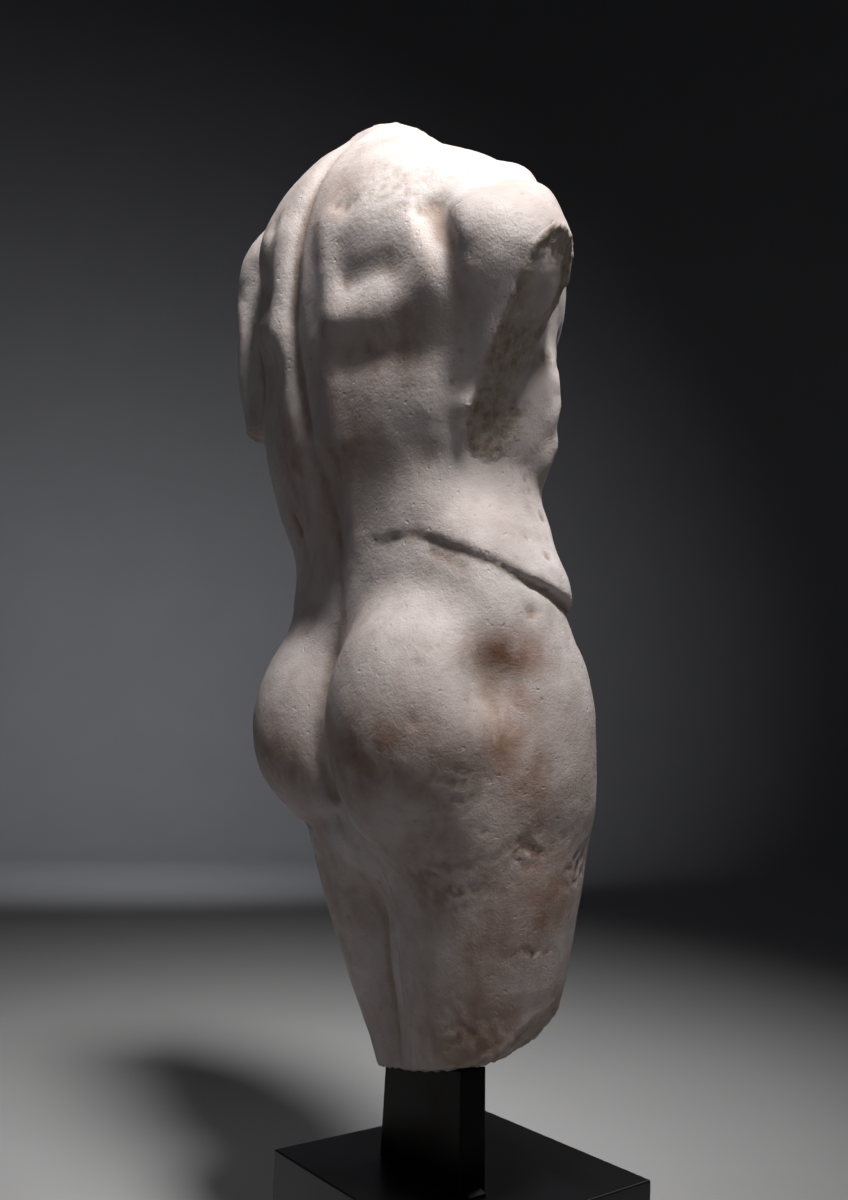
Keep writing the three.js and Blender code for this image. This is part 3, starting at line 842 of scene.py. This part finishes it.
def footCleat():
    low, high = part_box("post")
    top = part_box("base")[1].z
    x, y = low.x, (low.y + high.y) / 2
    long, deep, tall = cleat["length"] / 2, cleat["depth"], cleat["height"]
    foot = [(x, y - long), (x, y + long), (x - deep, y + long), (x - deep, y - long)]
    heights = [tall, tall, tall * 0.4, tall * 0.4]
    corners = [(*spot, top) for spot in foot]
    corners += [(*spot, top + height) for spot, height in zip(foot, heights)]
    sides = [(3, 2, 1, 0), (4, 5, 6, 7), (0, 1, 5, 4), (1, 2, 6, 5), (2, 3, 7, 6), (3, 0, 4, 7)]
    piece = meshObject("post_cleat", corners, sides, smooth=False)
    shell = bmesh.new()
    shell.from_mesh(piece.data)
    bmesh.ops.bevel(shell, geom=shell.edges[:], offset=cleat["edge"], segments=2, profile=0.5,
                    affect="EDGES")
    bmesh.ops.recalc_face_normals(shell, faces=shell.faces)
    shell.to_mesh(piece.data)
    shell.free()
    return piece


wedge = footCleat()
wedge.data.materials.append(steel)
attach(wedge, "root")
print("post, block and cleat")

studio = {
    "floorRadius": 4.6,
    "bendRadius": 1.6,
    "wallHeight": 6.0,
    "turns": 96,
    "paper": ("#b9b9ba", "#bdbdbe"),
    "air": "#7f8288",
    "airStrength": 0.03,
    # place, size, watts, aim, spread, colour
    "lights": [
        ((-0.74, 0.32, 2.1), 0.4, 5.4, (0.0, 0.05, 0.95), 60, "#fffdfb"),
        ((-1.9, 0.5, 1.2), 0.8, 0.7, (0.0, 0.0, 0.6), 80, "#ffffff"),
        ((0.3, 2.2, 1.6), 0.9, 0.5, (0.0, 0.0, 0.7), 80, "#f2f5ff"),
        ((0.6, -2.3, 2.1), 1.2, 0.8, (0.0, 0.0, 0.65), 50, "#ffffff"),
        ((2.0, -0.6, 1.7), 0.8, 14, (4.9, -1.6, 1.0), 120, "#f6f7ff"),
    ],
}


# a pale matt paper floor, swept up into a wall far from the object, all round
def studioPaper():
    outline = [(0.0, 0.0), (studio["floorRadius"] * 0.5, 0.0)]
    for step in range(13):
        angle = math.radians(90 * step / 12)
        outline.append((studio["floorRadius"] + studio["bendRadius"] * math.sin(angle),
                        studio["bendRadius"] * (1 - math.cos(angle))))
    outline.append((outline[-1][0], studio["bendRadius"] + studio["wallHeight"]))
    turns = studio["turns"]
    corners = [(0, 0, 0)]
    faces = []
    for radius, height in outline[1:]:
        for k in range(turns):
            angle = 2 * math.pi * k / turns
            corners.append((radius * math.cos(angle), radius * math.sin(angle), height))
    for k in range(turns):
        faces.append((0, 1 + k, 1 + (k + 1) % turns))
    for ring in range(len(outline) - 2):
        a, b = 1 + ring * turns, 1 + (ring + 1) * turns
        for k in range(turns):
            faces.append((a + k, b + k, b + (k + 1) % turns, a + (k + 1) % turns))
    paper = meshObject("studio_paper", corners, faces)
    material, tree, shader = newMaterial("matt_paper")
    place = addNode(tree, "ShaderNodeTexCoord").outputs["Object"]
    fibre = addNode(tree, "ShaderNodeTexNoise", {
        "Vector": place, "Scale": 3.0, "Detail": 3.0}).outputs["Fac"]
    colour = ramp(tree, fibre, list(zip((0.3, 0.7), studio["paper"])))
    tree.links.new(colour, shader.inputs["Base Color"])
    shader.inputs["Roughness"].default_value = 0.9
    paper.data.materials.append(material)


studioPaper()
world = bpy.data.worlds.new("air")
world.use_nodes = True
world.node_tree.nodes["Background"].inputs["Color"].default_value = srgb(studio["air"])
world.node_tree.nodes["Background"].inputs["Strength"].default_value = studio["airStrength"]
bpy.context.scene.world = world
for number, (place, size, watts, aim, spread, colour) in enumerate(studio["lights"]):
    lamp = bpy.data.lights.new(f"softbox_{number}", "AREA")
    lamp.shape = "DISK"
    lamp.size = size
    lamp.energy = watts
    lamp.spread = math.radians(spread)
    lamp.color = srgb(colour)[:3]
    holder = bpy.data.objects.new(lamp.name, lamp)
    bpy.context.scene.collection.objects.link(holder)
    holder.location = place
    holder.rotation_euler = (Vector(aim) - Vector(place)).to_track_quat("-Z", "Y").to_euler()

# Camera behind the figure's right side, a little above the block
cameraSetup = {
    "place": (-0.69613, 0.588595, 0.455),
    "turn": (93.1117, -1.8672, -127.6515),   # degrees
    "lens": 30.588,
    "sensor": 36.0,
    "shiftY": 0.10292,
}
lens = bpy.data.cameras.new("camera")
lens.sensor_fit = "VERTICAL"
lens.sensor_height = cameraSetup["sensor"]
lens.lens = cameraSetup["lens"]
lens.shift_y = cameraSetup["shiftY"]
lens.clip_start = 0.05
camera = bpy.data.objects.new("camera", lens)
bpy.context.scene.collection.objects.link(camera)
camera.location = cameraSetup["place"]
camera.rotation_euler = Euler([math.radians(a) for a in cameraSetup["turn"]], "XYZ")
bpy.context.scene.camera = camera
bpy.context.scene.view_settings.view_transform = "Standard"
